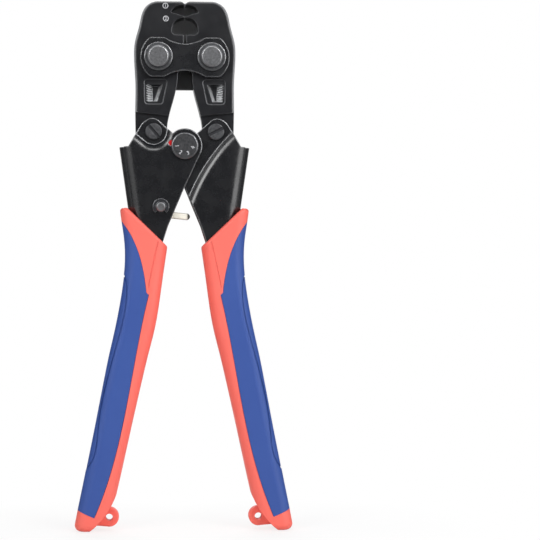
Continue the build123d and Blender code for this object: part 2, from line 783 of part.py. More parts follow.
def cover_profile(gap):
    """Front view of the soft cover, moved out and up by a gap."""
    start, notch, foot, foot_far = on_grip([cover_start, cover_notch, cover_foot, cover_foot_far])
    upper = on_grip(cover_upper)
    lower = [notch, *on_grip(cover_lower)]
    face = make_face([
        Line(start, upper[0]),
        Spline(*upper),
        Line(upper[-1], notch),
        Spline(*lower),
        Polyline(lower[-1], foot, foot_far, start),
    ])
    return Pos(gap, cover_gap_lean * gap) * face


def grip_body():
    trimmed = grip_form(0) & slab(grip_silhouette(), -grip_depth, grip_depth)
    flats = trimmed.faces().filter_by(GeomType.PLANE)
    trimmed = fillet(flats.filter_by(lambda f: f.normal_at(f.center()).Z > 0.1).edges(), collar_round)
    bottom = trimmed.faces().filter_by(lambda f: abs(f.center().Z) < 0.01)
    return fillet(bottom.edges().sort_by(Axis.X)[1:], cap_round)


def skin(profile, depth):
    """The part of the grip's outer skin, to a depth, that lies behind a front-view profile."""
    return slab(profile, -grip_depth, grip_depth) - grip_form(depth)


def pad_profile():
    edge = on_grip(pad_edge)
    return make_face([Spline(*edge), Polyline(edge[-1], (FAR, edge[-1][1]), (FAR, edge[0][1]), edge[0])])


def pad_groove():
    edge = on_grip(pad_edge)
    beside = [(x + pad_groove_width, z) for x, z in edge]
    ends = [Line(edge[-1], beside[-1]), Line(beside[0], edge[0])]
    return make_face([Spline(*edge), Spline(*reversed(beside)), *ends])


def crease_profile():
    half = crease_width / 2
    line = on_grip(crease_line)
    down = [(x - half, z) for x, z in line]
    up = [(x + half, z) for x, z in reversed(line)]
    return polygon(*down, *up)


def tab_middle():
    return on_grip([tab_place])[0]


def lanyard_tab():
    x, z = tab_middle()
    root = polygon(*from_pin(x, z, tab_root), (x, z))
    tab = slab(disc(x, z, tab_radius) + root, -tab_thickness / 2, tab_thickness / 2)
    rims = tab.edges().filter_by(lambda e: abs(abs(e.center().Y) - tab_thickness / 2) < 0.01)
    return fillet(rims, tab_round)


def right_grip_cover():
    cover = grip_body() & skin(cover_profile(cover_gap), cover_thickness)
    return cover - skin(pad_profile(), pad_depth) - skin(pad_groove(), pad_groove_depth)


def right_grip_core():
    body = grip_body()
    body -= skin(cover_profile(0), cover_thickness + cover_gap)
    body -= skin(crease_profile(), crease_depth)
    body += lanyard_tab()
    sleeve = offset(handle_profile(inner_disc_radius), sleeve_gap)
    body -= slab(sleeve, -plate_outer - sleeve_gap, plate_outer + sleeve_gap)
    return body - drum(*tab_middle(), lanyard_radius, -FAR, FAR)


os.makedirs("parts", exist_ok=True)


def save(name, *solids):
    shape = solids[0] if len(solids) == 1 else Compound(children=list(solids))
    export_step(shape, f"parts/{name}.step")


save("right_jaw", right_jaw())
save("left_jaw", left_of(right_jaw()))
save("front_strap", front_strap())
save("rear_strap", rear_strap())
save("jaw_pins", *[jaw_pin(x, z) for x, z in jaw_pin_places()])
save("jaw_pin_washers", *[jaw_washer(x, z) for x, z in jaw_pin_places()])
save("jaw_pin_nuts", *[jaw_nut(x, z) for x, z in jaw_pin_places()])
save("left_tail_screw", tail_screw(-1, left_slot_angle))
save("right_tail_screw", tail_screw(1, right_slot_angle))
save("left_tail_nut", tail_nut(-1))
save("right_tail_nut", tail_nut(1))
save("left_handle_frame", left_handle_frame())
save("right_handle_frame", right_handle_frame())
save("index_dot", index_dot(index_dot_proud))
save("adjusting_dial", adjusting_dial())
save("centre_pin", centre_pin())
save("centre_washer", centre_washer())
save("centre_lock_screw", centre_lock_screw())
save("ratchet_sector", ratchet_sector())
save("sector_rivets", *[sector_rivet(x, z) for x, z in from_pin(0, centre_height, rivet_places)])
save("release_pawl", release_pawl())
save("pawl_pin", pawl_pin())
save("pawl_clips", pawl_clip(-clip_seat() - clip_thickness), pawl_clip(clip_seat()))
save("pawl_spacer", pawl_spacer())
save("pawl_spring", pawl_spring())
save("right_grip_core", right_grip_core())
save("left_grip_core", left_of(right_grip_core()))
save("right_grip_cover", right_grip_cover())
save("left_grip_cover", left_of(right_grip_cover()))
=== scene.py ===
# %% [markdown]
# # A clamp tool, dressed for its photograph
# The tool is already modelled as separate solids: jaws, straps, pins, folded handles and two-part grips.
# This lesson gives each solid its real finish, adds the small marks that are too thin to model as solids,
# and sets up a plain studio. Every piece rides on the body that it is fixed to, so the tool can open.

# %% Load the solids
import bpy
from math import cos, pi, radians, sin
from mathutils import Matrix, Vector


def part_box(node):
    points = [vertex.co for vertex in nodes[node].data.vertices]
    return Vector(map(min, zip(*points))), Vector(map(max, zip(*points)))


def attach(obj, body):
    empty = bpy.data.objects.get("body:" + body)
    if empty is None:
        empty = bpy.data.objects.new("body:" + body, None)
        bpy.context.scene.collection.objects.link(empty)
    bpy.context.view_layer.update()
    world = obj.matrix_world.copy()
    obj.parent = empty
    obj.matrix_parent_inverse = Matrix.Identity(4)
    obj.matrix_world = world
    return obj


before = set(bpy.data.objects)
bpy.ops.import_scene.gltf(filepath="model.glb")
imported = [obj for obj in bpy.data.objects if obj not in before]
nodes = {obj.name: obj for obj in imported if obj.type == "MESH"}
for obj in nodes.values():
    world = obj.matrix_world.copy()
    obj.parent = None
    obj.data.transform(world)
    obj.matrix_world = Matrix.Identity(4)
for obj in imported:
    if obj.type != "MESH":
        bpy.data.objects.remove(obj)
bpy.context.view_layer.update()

# %% [markdown]
# ## Colour and scale
# Colours are written as the sRGB hex values that a paint chart or a picture editor shows. Shaders work with
# linear light, so one function converts them. Patterns are measured on the real thing in millimetres, and
# the textures count repeats per metre, so a second function turns the one into the other.

# %% Colour and scale
mm = 0.001


def paint(code):
    """Linear colour of an sRGB hex value, by the curve of the sRGB standard."""
    channels = [int(code[i:i + 2], 16) / 255 for i in (1, 3, 5)]
    linear = [c / 12.92 if c <= 0.04045 else ((c + 0.055) / 1.055) ** 2.4 for c in channels]
    return (*linear, 1.0)


def repeats(size_mm):
    """Texture scale for a pattern whose marks are this many millimetres apart."""
    return 1.0 / (size_mm * mm)


print("middle grey in linear light:", [round(c, 3) for c in paint("#808080")])

# %% [markdown]
# ## Nodes
# A material here is a small graph of nodes. One function adds a node, with its own settings and with its
# inputs, which are either plain values or the outputs of other nodes. A second one starts a finish with an
# empty graph. Every finish on this tool ends in a Principled shader, because that one shader can be a coat,
# a metal or a plastic. A Mix node has sockets for each type of data under the same names, so the two
# colours that go in and the mixed one that comes out are reached by their places.

# %% Nodes
mix_from, mix_to, mixed = 6, 7, 2


def add(tree, kind, settings=None, inputs=None):
    """Add a node with its settings, and set or link its inputs."""
    made = tree.nodes.new("ShaderNode" + kind)
    for name, value in (settings or {}).items():
        setattr(made, name, value)
    for name, value in (inputs or {}).items():
        if isinstance(value, bpy.types.NodeSocket):
            tree.links.new(value, made.inputs[name])
        else:
            made.inputs[name].default_value = value
    return made


def start_finish(name, plain_colour):
    """A new material and its empty graph. Simple previews show the plain colour."""
    material = bpy.data.materials.new(name)
    material.use_nodes = True
    material.diffuse_color = paint(plain_colour)
    material.node_tree.nodes.clear()
    return material, material.node_tree


print("node helpers ready")

# %% [markdown]
# ## Blackened steel
# The jaws are forged, the handles and straps are pressed from sheet, and a hot bath has turned their skin to
# black oxide. That gives the eye a nearly black satin face, a faint cloudiness where the oxide is thicker or
# thinner, and a thin bright line on every edge, where it is rubbed through and the corner is slightly round.
# The line could be painted on by hand, but a Bevel node finds every edge by itself: where the rounded normal
# turns away from the flat one there is an edge, and there the coat gives way to bare metal.

# %% Worn edges
bare_turn = 0.9


def worn_edge(tree, radius_mm):
    """Rounded normal, and a mask that is 1 on an edge."""
    rounded = add(tree, "Bevel", {"samples": 8}, {"Radius": radius_mm * mm})
    flat = add(tree, "NewGeometry")
    same = add(tree, "VectorMath", {"operation": "DOT_PRODUCT"},
               {0: rounded.outputs["Normal"], 1: flat.outputs["Normal"]})
    bare = add(tree, "MapRange",
               inputs={"Value": same.outputs["Value"], "From Min": 1.0, "From Max": bare_turn})
    return rounded.outputs["Normal"], bare.outputs["Result"]


print("an edge is bare where the cosine of its turn is", bare_turn)

# %% [markdown]
# Black oxide is magnetite, whose index of refraction is about 2.4. The oil that seals it and a loose, dull
# skin both lower that, so each part has its own index, matched to its sheen between 1.5 and 2.4. The real
# grain is finer than the picture can show, so it is drawn about 1 mm wide. One function makes all these
# finishes. What differs from part to part is how thick, how rough and how worn the oxide is.

# %% Blackened steel
cloud_mm = 9.0
glossier, duller = 0.03, 0.05


def blackened(name, coat, cloud, edge, edge_mm, grain_mm, grain_depth_mm, roughness, ior, painted_light_patch=None):
    """Black oxide on steel: cloudy, grained, bare on its edges and perhaps with grey painted light
    elsewhere.
    """
    material, tree = start_finish(name, coat)
    place = add(tree, "TexCoord").outputs["Object"]
    clouds = add(tree, "TexNoise", inputs={"Vector": place, "Scale": repeats(cloud_mm), "Detail": 3.0})
    grain = add(tree, "TexNoise", inputs={"Vector": place, "Scale": repeats(grain_mm), "Detail": 2.0})
    normal, bare = worn_edge(tree, edge_mm)
    oxide = add(tree, "Mix", {"data_type": "RGBA"},
                {"Factor": clouds.outputs["Fac"], mix_from: paint(coat), mix_to: paint(cloud)})
    # Painted light: a grey laid over the coat where the given mask is high.
    if painted_light_patch:
        grey, painted_light_mask = painted_light_patch
        oxide = add(tree, "Mix", {"data_type": "RGBA"},
                    {"Factor": painted_light_mask(tree), mix_from: oxide.outputs[mixed], mix_to: paint(grey)})
    colour = add(tree, "Mix", {"data_type": "RGBA"},
                 {"Factor": bare, mix_from: oxide.outputs[mixed], mix_to: paint(edge)})
    gloss = add(tree, "MapRange", inputs={"Value": clouds.outputs["Fac"], "From Min": 0.3, "From Max": 0.7,
                                          "To Min": roughness - glossier, "To Max": roughness + duller})
    relief = add(tree, "Bump", inputs={"Strength": 0.6, "Distance": grain_depth_mm * mm,
                                       "Height": grain.outputs["Fac"], "Normal": normal})
    shader = add(tree, "BsdfPrincipled", inputs={
        "Base Color": colour.outputs[mixed], "Roughness": gloss.outputs["Result"], "Metallic": bare,
        "IOR": ior, "Normal": relief.outputs["Normal"]})
    add(tree, "OutputMaterial", inputs={"Surface": shader.outputs["BSDF"]})
    return material


# Forged: a little rough, so that its face scatters light and its grain just shows.
forged_black = blackened("blackened_forged_steel", coat="#0F1015", cloud="#15161B", edge="#707174",
                         edge_mm=0.8, grain_mm=0.7, grain_depth_mm=0.02, roughness=0.32, ior=1.68)
# Pressed sheet under a thick oxide: smoother and deeper, with a bright sheen on its bends.
pressed_black = blackened("black_oxide_sheet_steel", coat="#0A0B10", cloud="#101217", edge="#B6B7BA",
                          edge_mm=1.1, grain_mm=1.2, grain_depth_mm=0.008, roughness=0.26, ior=1.9)
# Spring steel of the clips, stamped from blackened strip: greyer, and only its cut edge is bare.
clip_black = blackened("blackened_spring_steel", coat="#232428", cloud="#2B2C30", edge="#B4B5B8",
                       edge_mm=0.4, grain_mm=1.0, grain_depth_mm=0.008, roughness=0.34, ior=1.6)
# Inside a screw's slot: a dull dark coat with dark edges, painted as the shade in the slot.
slot_shade_black = blackened("slot_steel_with_painted_shade", coat="#2A2B2F", cloud="#313236", edge="#3A3B3F",
                       edge_mm=0.2, grain_mm=1.2, grain_depth_mm=0.008, roughness=0.45, ior=1.5)
print("made", forged_black.name, pressed_black.name, clip_black.name, slot_shade_black.name)

# %% [markdown]
# Two black faces get a grey over an area and not only on an edge, and both greys are painted light. On the
# tongue of the rear strap it is painted light that lifts the shade behind the mouth, and on the rounding
# along each jaw's back it is a painted highlight. It could be painted into an image. Here a height on the
# tongue and a direction on the rounding say where it lies, and a ramp between two values lets it fade in.
# That needs no image, and it follows the piece when the tool opens.

# %% Painted light on the blackening
# Heights on the tongue where the painted light fades in, holds and fades out.
tongue_plain_below, tongue_lifted_from = 0.315, 0.331
tongue_lifted_to, tongue_plain_above = 0.338, 0.3395
face_on, turned_away = 0.97, 0.85


def painted_lift_in_mouth(tree):
    """Painted light on the rear strap's tongue, lifting its shade from the mouth's foot to just under its
    tip.
    """
    place = add(tree, "TexCoord").outputs["Object"]
    height = add(tree, "SeparateXYZ", inputs={"Vector": place}).outputs["Z"]
    rise = add(tree, "MapRange",
               inputs={"Value": height, "From Min": tongue_plain_below, "From Max": tongue_lifted_from})
    fall = add(tree, "MapRange",
               inputs={"Value": height, "From Min": tongue_plain_above, "From Max": tongue_lifted_to})
    both = add(tree, "Math", {"operation": "MINIMUM"},
               {0: rise.outputs["Result"], 1: fall.outputs["Result"]})
    return both.outputs[0]


def painted_highlight_on_rounding(tree):
    """A painted highlight that grows as a rounding turns from the face to the side."""
    facing = add(tree, "SeparateXYZ", inputs={"Vector": add(tree, "TexCoord").outputs["Normal"]})
    frontness = add(tree, "Math", {"operation": "ABSOLUTE"}, {0: facing.outputs["Y"]})
    painted_light_mask = add(tree, "MapRange",
               inputs={"Value": frontness.outputs[0], "From Min": face_on, "From Max": turned_away})
    return painted_light_mask.outputs["Result"]


# The rear strap's front has a greyer coat, painted light that lifts its shade, and more painted light on its
# tongue behind the mouth.
painted_lift_black = blackened("sheet_steel_with_painted_lift", coat="#282930", cloud="#2E2F35", edge="#8A8B8E",
                       edge_mm=0.8, grain_mm=1.2, grain_depth_mm=0.008, roughness=0.32, ior=2.4,
                       painted_light_patch=("#828387", painted_lift_in_mouth))
# The rounding along a jaw's back: the forged coat with a soft grey painted highlight.
painted_highlight_black = blackened("forged_steel_with_painted_highlight", coat="#131419", cloud="#191A1F", edge="#C4C5C8",
                         edge_mm=0.8, grain_mm=0.7, grain_depth_mm=0.02, roughness=0.4, ior=1.68,
                         painted_light_patch=("#7E7F82", painted_highlight_on_rounding))
print("made", painted_lift_black.name, painted_highlight_black.name)

# %% [markdown]
# ## Turned steel
# The pins, the washers under their heads, the dial and the tail screws are turned or stamped steel with a
# thin dark oxide, through which the metal shows. Their faces are dull and speckled and mirror the dim front
# of the room, while every bevel looks aside into its bright part and shows as a ring of light. Plain metal
# does that by itself. Only the rims get a tone of their own: paler where hands and tools rub them, and dull
# where nothing does. The speckle is drawn above 1 mm wide, coarser than the real one, so that it shows.

# %% Turned steel
speckle_depth_mm = 0.012


def turned(name, dark, light, edge, speckle_mm, roughness, edge_mm=0.5):
    """Oxidised steel with a speckle, in colour and in relief, and another tone on its edges."""
    material, tree = start_finish(name, dark)
    place = add(tree, "TexCoord").outputs["Object"]
    speckle = add(tree, "TexNoise", inputs={"Vector": place, "Scale": repeats(speckle_mm), "Detail": 4.0,
                                            "Roughness": 0.65})
    spread = add(tree, "MapRange",
                 inputs={"Value": speckle.outputs["Fac"], "From Min": 0.32, "From Max": 0.68})
    face = add(tree, "Mix", {"data_type": "RGBA"},
               {"Factor": spread.outputs["Result"], mix_from: paint(dark), mix_to: paint(light)})
    normal, bare = worn_edge(tree, edge_mm)
    colour = add(tree, "Mix", {"data_type": "RGBA"},
                 {"Factor": bare, mix_from: face.outputs[mixed], mix_to: paint(edge)})
    relief = add(tree, "Bump", inputs={"Strength": 0.5, "Distance": speckle_depth_mm * mm,
                                       "Height": speckle.outputs["Fac"], "Normal": normal})
    shader = add(tree, "BsdfPrincipled", inputs={
        "Base Color": colour.outputs[mixed], "Roughness": roughness, "Metallic": 1.0,
        "Normal": relief.outputs["Normal"]})
    add(tree, "OutputMaterial", inputs={"Surface": shader.outputs["BSDF"]})
    return material


# Heads of the jaw pins: pale, with a rim that is rubbed bright.
pin_grey = turned("oxidised_pin_steel", dark="#9B9C9F", light="#CBCCD0", edge="#F8F9FA",
                  speckle_mm=1.4, roughness=0.33)
# The pawl's pin: its end stands in the middle of its clip, where nothing rubs, so its rim stays dull.
clip_pin_grey = turned("oxidised_clip_pin_steel", dark="#A4A5A8", light="#D5D6DA", edge="#9A9B9E",
                       speckle_mm=1.4, roughness=0.36)
# Stamped washers: darker and finer, with a bright rim.
washer_grey = turned("oxidised_washer_steel", dark="#717275", light="#8B8C90", edge="#EEEFF1",
                     speckle_mm=1.1, roughness=0.36)
# The dial: dark enough for its pale numbers to stand out, with a rim that fingers have polished.
dial_grey = turned("oxidised_dial_steel", dark="#757679", light="#999A9E", edge="#DCDDE0",
                   speckle_mm=1.3, roughness=0.33)
# Heads of the tail screws: dull all over, because they are driven once and then left alone.
screw_grey = turned("oxidised_screw_steel", dark="#707174", light="#9C9DA1", edge="#7A7B7E",
                    speckle_mm=1.4, roughness=0.36, edge_mm=0.2)
print("made", pin_grey.name, clip_pin_grey.name, washer_grey.name, dial_grey.name, screw_grey.name)

# %% [markdown]
# ## Bare steel
# The centre pin, the spring and the ratchet inside are bare steel, ground or drawn, and the sloping sides
# of the jaws' pockets are pale milled steel whose paleness is partly a painted highlight. All show fine
# parallel lines from the wheel or the cutter. A noise that is stretched along the tool gives such lines.
# They are 0.5 mm apart, coarser than real ones, so that they show.

# %% Bare steel
line_mm, line_depth_mm = 0.5, 0.01
stretch = (1.0, 1.0, 0.06)


def ground(name, dull, bright, roughness):
    """Bare steel with fine lines along the tool."""
    material, tree = start_finish(name, dull)
    place = add(tree, "TexCoord").outputs["Object"]
    along = add(tree, "Mapping", inputs={"Vector": place, "Scale": stretch})
    lines = add(tree, "TexNoise", inputs={"Vector": along.outputs["Vector"], "Scale": repeats(line_mm),
                                          "Detail": 2.0})
    colour = add(tree, "Mix", {"data_type": "RGBA"},
                 {"Factor": lines.outputs["Fac"], mix_from: paint(dull), mix_to: paint(bright)})
    relief = add(tree, "Bump", inputs={"Strength": 0.4, "Distance": line_depth_mm * mm,
                                       "Height": lines.outputs["Fac"]})
    shader = add(tree, "BsdfPrincipled", inputs={
        "Base Color": colour.outputs[mixed], "Metallic": 1.0, "Roughness": roughness,
        "Normal": relief.outputs["Normal"]})
    add(tree, "OutputMaterial", inputs={"Surface": shader.outputs["BSDF"]})
    return material


# Ground: a fairly sharp sheen, and the grey of plain steel.
ground_steel = ground("ground_bare_steel", dull="#A9AAAC", bright="#CDCED0", roughness=0.33)
# Milled: pale, partly as a painted highlight, with a rougher face that spreads the light over the whole
# slope.
pocket_highlight_steel = ground("milled_steel_with_painted_highlight", dull="#D6D7D9", bright="#F0F1F2", roughness=0.5)
print("made", ground_steel.name, pocket_highlight_steel.name)

# %% [markdown]
# ## Zinc plate
# The release lever is zinc plated, with a warm passivated film that looks cream. Its tip and its upper and
# lower edges are painted dark, as painted shade where they turn away from the light. That shade could be
# painted into an image. Here the tip is found by its place across the tool, and the edges by the direction
# in which they look.

# %% Zinc plate
tip_shade_begins, tip_shade_full = 1.2 * mm, 2.4 * mm
edge_begins, edge_full, edge_share = 0.4, 0.9, 0.6
film_mm = 4.0
zinc_plate, tree = start_finish("passivated_zinc_plate", "#FFF9EA")
on_lever = add(tree, "TexCoord")
across = add(tree, "SeparateXYZ", inputs={"Vector": on_lever.outputs["Object"]})
tip = add(tree, "MapRange",
          inputs={"Value": across.outputs["X"], "From Min": tip_shade_begins, "From Max": tip_shade_full})
facing = add(tree, "SeparateXYZ", inputs={"Vector": on_lever.outputs["Normal"]})
upright = add(tree, "Math", {"operation": "ABSOLUTE"}, {0: facing.outputs["Z"]})
edge = add(tree, "MapRange", inputs={"Value": upright.outputs[0], "From Min": edge_begins,
                                     "From Max": edge_full, "To Max": edge_share})
painted_shade = add(tree, "Math", {"operation": "MAXIMUM"},
              {0: tip.outputs["Result"], 1: edge.outputs["Result"]})
film = add(tree, "TexNoise", inputs={"Vector": on_lever.outputs["Object"], "Scale": repeats(film_mm)})
cream = add(tree, "Mix", {"data_type": "RGBA"},
            {"Factor": film.outputs["Fac"], mix_from: paint("#FFF6DE"), mix_to: paint("#FFFEFA")})
# Painted shade: the tip and the edges that look up or down turn dark.
colour = add(tree, "Mix", {"data_type": "RGBA"},
             {"Factor": painted_shade.outputs[0], mix_from: cream.outputs[mixed], mix_to: paint("#4A4742")})
shader = add(tree, "BsdfPrincipled", inputs={"Base Color": colour.outputs[mixed], "Roughness": 0.38})
add(tree, "OutputMaterial", inputs={"Surface": shader.outputs["BSDF"]})
print("made", zinc_plate.name)

# %% [markdown]
# ## Enamel
# The dot beside the dial is a drop of red enamel, flowed in by hand. It is glossy, and slightly darker where
# it is thicker, so a soft noise drifts between two reds.

# %% Enamel
pool_mm = 1.5
enamel, tree = start_finish("red_enamel", "#D42026")
place = add(tree, "TexCoord").outputs["Object"]
pool = add(tree, "TexNoise", inputs={"Vector": place, "Scale": repeats(pool_mm)})
colour = add(tree, "Mix", {"data_type": "RGBA"},
             {"Factor": pool.outputs["Fac"], mix_from: paint("#C3161D"), mix_to: paint("#E02A2E")})
shader = add(tree, "BsdfPrincipled",
             inputs={"Base Color": colour.outputs[mixed], "Roughness": 0.3, "IOR": 1.52})
add(tree, "OutputMaterial", inputs={"Surface": shader.outputs["BSDF"]})
print("made", enamel.name)

# %% [markdown]
# ## Grips
# Each grip is moulded twice. The sleeve is coral red polypropylene, moulded in a spark-eroded tool that
# leaves a fine even grain. The cover is a softer blue thermoplastic rubber, with a duller and slightly
# coarser grain. Both are opaque and evenly coloured, with only a slight drift in colour from the flow in the
# mould. In a crease the tone is painted: darker in the sleeve's, as painted shade, and paler in the cover's,
# as painted light that eases its shade. An Ambient Occlusion node finds the creases.

# %% Moulded plastics
flow_mm = 28.0
corner_mm, crease_mm = 0.5, 1.5


def moulded(name, colour, drift, crease_painted_tone, grain_mm, grain_depth_mm, roughness, ior):
    """Plastic from a grained mould, with a tone painted in its creases to set their shade."""
    material, tree = start_finish(name, colour)
    place = add(tree, "TexCoord").outputs["Object"]
    flow = add(tree, "TexNoise", inputs={"Vector": place, "Scale": repeats(flow_mm), "Detail": 2.0})
    grain = add(tree, "TexNoise", inputs={"Vector": place, "Scale": repeats(grain_mm), "Detail": 3.0})
    shade = add(tree, "Mix", {"data_type": "RGBA"},
                {"Factor": flow.outputs["Fac"], mix_from: paint(colour), mix_to: paint(drift)})
    rounded = add(tree, "Bevel", {"samples": 6}, {"Radius": corner_mm * mm})
    relief = add(tree, "Bump", inputs={"Strength": 0.5, "Distance": grain_depth_mm * mm,
                                       "Height": grain.outputs["Fac"], "Normal": rounded.outputs["Normal"]})
    # Painted shade and light: the crease tone is laid where the occlusion finds a crease.
    open_sky = add(tree, "AmbientOcclusion", {"samples": 8}, {"Distance": crease_mm * mm})
    out_of_crease = add(tree, "MapRange",
                inputs={"Value": open_sky.outputs["AO"], "From Min": 0.35, "From Max": 0.9})
    skin = add(tree, "Mix", {"data_type": "RGBA"},
               {"Factor": out_of_crease.outputs["Result"], mix_from: paint(crease_painted_tone), mix_to: shade.outputs[mixed]})
    shader = add(tree, "BsdfPrincipled", inputs={
        "Base Color": skin.outputs[mixed], "Roughness": roughness, "IOR": ior,
        "Normal": relief.outputs["Normal"]})
    add(tree, "OutputMaterial", inputs={"Surface": shader.outputs["BSDF"]})
    return material


# Polypropylene: a hard satin skin.
red_sleeve = moulded("moulded_red_polypropylene", colour="#F56A5E", drift="#FA7264", crease_painted_tone="#E86358",
                     grain_mm=0.8, grain_depth_mm=0.02, roughness=0.48, ior=1.49)
# Thermoplastic rubber: a softer, duller skin.
blue_cover = moulded("moulded_blue_thermoplastic_rubber", colour="#2E4D99", drift="#3555A0",
                     crease_painted_tone="#3656A3", grain_mm=0.9, grain_depth_mm=0.03, roughness=0.5, ior=1.5)
print("made", red_sleeve.name, "and", blue_cover.name)

# %% [markdown]
# ## Dress the solids
# Each solid keeps its shape, which is the real one, and takes its finish in its first material slot.

# %% Dress the solids
finishes = {
    forged_black: ["left_jaw", "right_jaw"],
    pressed_black: ["front_strap", "left_handle_frame", "right_handle_frame", "jaw_pin_nuts",
                    "left_tail_nut", "right_tail_nut", "centre_washer", "centre_lock_screw"],
    washer_grey: ["jaw_pin_washers"],
    painted_lift_black: ["rear_strap"],
    clip_black: ["pawl_clips"],
    pin_grey: ["jaw_pins"],
    clip_pin_grey: ["pawl_pin"],
    dial_grey: ["adjusting_dial"],
    screw_grey: ["left_tail_screw", "right_tail_screw"],
    ground_steel: ["centre_pin", "pawl_spacer", "pawl_spring", "ratchet_sector", "sector_rivets"],
    zinc_plate: ["release_pawl"],
    enamel: ["index_dot"],
    red_sleeve: ["left_grip_core", "right_grip_core"],
    blue_cover: ["left_grip_cover", "right_grip_cover"],
}
for material, names in finishes.items():
    for name in names:
        solid = nodes[name].data
        solid.materials.clear()
        solid.materials.append(material)
        print(name, "in", material.name)

# %% [markdown]
# Some solids show two finishes. The faces for the second one could be picked by hand in the viewport. Here a
# small test on each face says where it goes, so the choice stays right when a solid is meshed again.
#
# The sloping sides of the pocket in each jaw get pale milled steel whose paleness is partly a painted
# highlight: they are the faces that lie deeper than the rim and don't look straight to the front or back,
# or down. The side that looks down keeps the black coat. The rounded faces along a jaw's back get the coat
# with the painted highlight, which fades in by itself.

# %% Pockets and backs of the jaws
pocket_low, pocket_high = 0.2735, 0.2905
pocket_near, pocket_far = 0.0095, 0.0265
rim = 0.9 * mm
rim_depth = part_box("left_jaw")[1].y - rim
# Limits on a face's normal: 1 looks straight along an axis, 0 looks aside and -1 looks the other way
straight_on, downward = 0.97, -0.3
side_on, flat_on = 0.02, 0.998


def second_finish(name, material, chosen):
    """Give the faces that pass a test another finish."""
    solid = nodes[name].data
    solid.materials.append(material)
    faces = [face for face in solid.polygons if chosen(face)]
    for face in faces:
        face.material_index = len(solid.materials) - 1
    print(name, "has", len(faces), "faces in", material.name)


def in_pocket(face):
    at = face.center
    return pocket_near < abs(at.x) < pocket_far and pocket_low < at.z < pocket_high


def lit_pocket_side(face):
    deep = abs(face.center.y) < rim_depth
    return in_pocket(face) and deep and abs(face.normal.y) < straight_on and face.normal.z > downward


def highlight_rounding_face(face):
    return side_on < abs(face.normal.y) < flat_on and not in_pocket(face)


# Pale steel, partly a painted highlight, on the pockets' sides, and a painted highlight on the roundings.
for name in ("left_jaw", "right_jaw"):
    second_finish(name, pocket_highlight_steel, lit_pocket_side)
    second_finish(name, painted_highlight_black, highlight_rounding_face)

# %% [markdown]
# The slots of the tail screws are painted dark, as the shade that lies in them. Their faces are the floor at
# the slot's depth and the walls near the screw's axis. The back of the rear strap is as black as the front
# strap: its greyer coat, painted light against the shade behind the mouth, is only on the side that faces
# the jaws.

# %% Slots of the screws and back of the rear strap
slot_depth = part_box("left_tail_screw")[0].y + 1.0 * mm
floor_slack = 0.4 * mm
slot_reach = 3.5 * mm
frontward, sideward, backward = -0.9, 0.1, 0.5
screw_axes = [sum(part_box(name), Vector()) / 2 for name in ("left_tail_screw", "right_tail_screw")]


def in_slot(face):
    shallow = face.center.y < slot_depth + floor_slack
    floor = face.normal.y < frontward and slot_depth < face.center.y and shallow
    from_axis = min((face.center - axis).xz.length for axis in screw_axes)
    wall = abs(face.normal.y) < sideward and from_axis < slot_reach and shallow
    return floor or wall


def looks_back(face):
    return face.normal.y > backward


# Painted shade in the slots.
for name in ("left_tail_screw", "right_tail_screw"):
    second_finish(name, slot_shade_black, in_slot)
second_finish("rear_strap", pressed_black, looks_back)

# %% [markdown]
# ## Marks
# The jaw carries a circled 1 beside its upper mouth and a circled 2 beside the lower one, and the dial
# carries plain numbers, all etched pale by a laser, which leaves a matt, finely dotted face. An etched mark
# has almost no thickness, so it could be a texture. Thin outlines from a text curve keep their crisp edge
# from any distance, and they can ride on the jaw and the dial like every other piece.

# %% Etched steel
dot_mm = 0.3
etched, tree = start_finish("laser_etched_steel", "#B9BABC")
place = add(tree, "TexCoord").outputs["Object"]
dots = add(tree, "TexNoise", inputs={"Vector": place, "Scale": repeats(dot_mm)})
colour = add(tree, "Mix", {"data_type": "RGBA"},
             {"Factor": dots.outputs["Fac"], mix_from: paint("#A8A9AD"), mix_to: paint("#DEDFE2")})
shader = add(tree, "BsdfPrincipled", inputs={"Base Color": colour.outputs[mixed], "Roughness": 0.6})
add(tree, "OutputMaterial", inputs={"Surface": shader.outputs["BSDF"]})
print("made", etched.name)

# %% Outlines of the marks
mark_height = 0.03 * mm
digit_share = 0.7
ring_points = 48


def outline_mesh(curve):
    """Mesh of a filled curve, lying in its own plane."""
    carrier = bpy.data.objects.new("carrier", curve)
    bpy.context.scene.collection.objects.link(carrier)
    bpy.context.view_layer.update()
    mesh = bpy.data.meshes.new_from_object(carrier.evaluated_get(bpy.context.evaluated_depsgraph_get()))
    bpy.data.objects.remove(carrier)
    return mesh


def numeral(digit, height):
    """A digit of this height, which is a share of its font's size."""
    text = bpy.data.curves.new("digit_" + digit, "FONT")
    text.body = digit
    text.size = height / digit_share
    text.extrude = mark_height
    text.align_x = "CENTER"
    text.align_y = "CENTER"
    return outline_mesh(text)


def ring(radius, width):
    """A flat ring between two circles."""
    path = bpy.data.curves.new("ring", "CURVE")
    path.dimensions = "2D"
    path.fill_mode = "BOTH"
    path.extrude = mark_height
    for size in (radius, radius - width):
        spline = path.splines.new("POLY")
        spline.points.add(ring_points - 1)
        for step, point in enumerate(spline.points):
            angle = 2 * pi * step / ring_points
            point.co = (size * cos(angle), size * sin(angle), 0.0, 1.0)
        spline.use_cyclic_u = True
    return outline_mesh(path)


def etch(name, mesh, body, x, y, z, turn=0.0):
    """Stand a flat mark up, facing the front, and let it ride on a body."""
    stand = Matrix.Rotation(pi / 2, 4, "X")
    mesh.transform(Matrix.Translation((x, y, z)) @ Matrix.Rotation(turn, 4, "Y") @ stand)
    mesh.materials.clear()
    mesh.materials.append(etched)
    mark = bpy.data.objects.new(name, mesh)
    bpy.context.scene.collection.objects.link(mark)
    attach(mark, body)
    print(name, "rides on", body, "with", len(mesh.polygons), "faces")


print("marks stand", mark_height, "m proud")

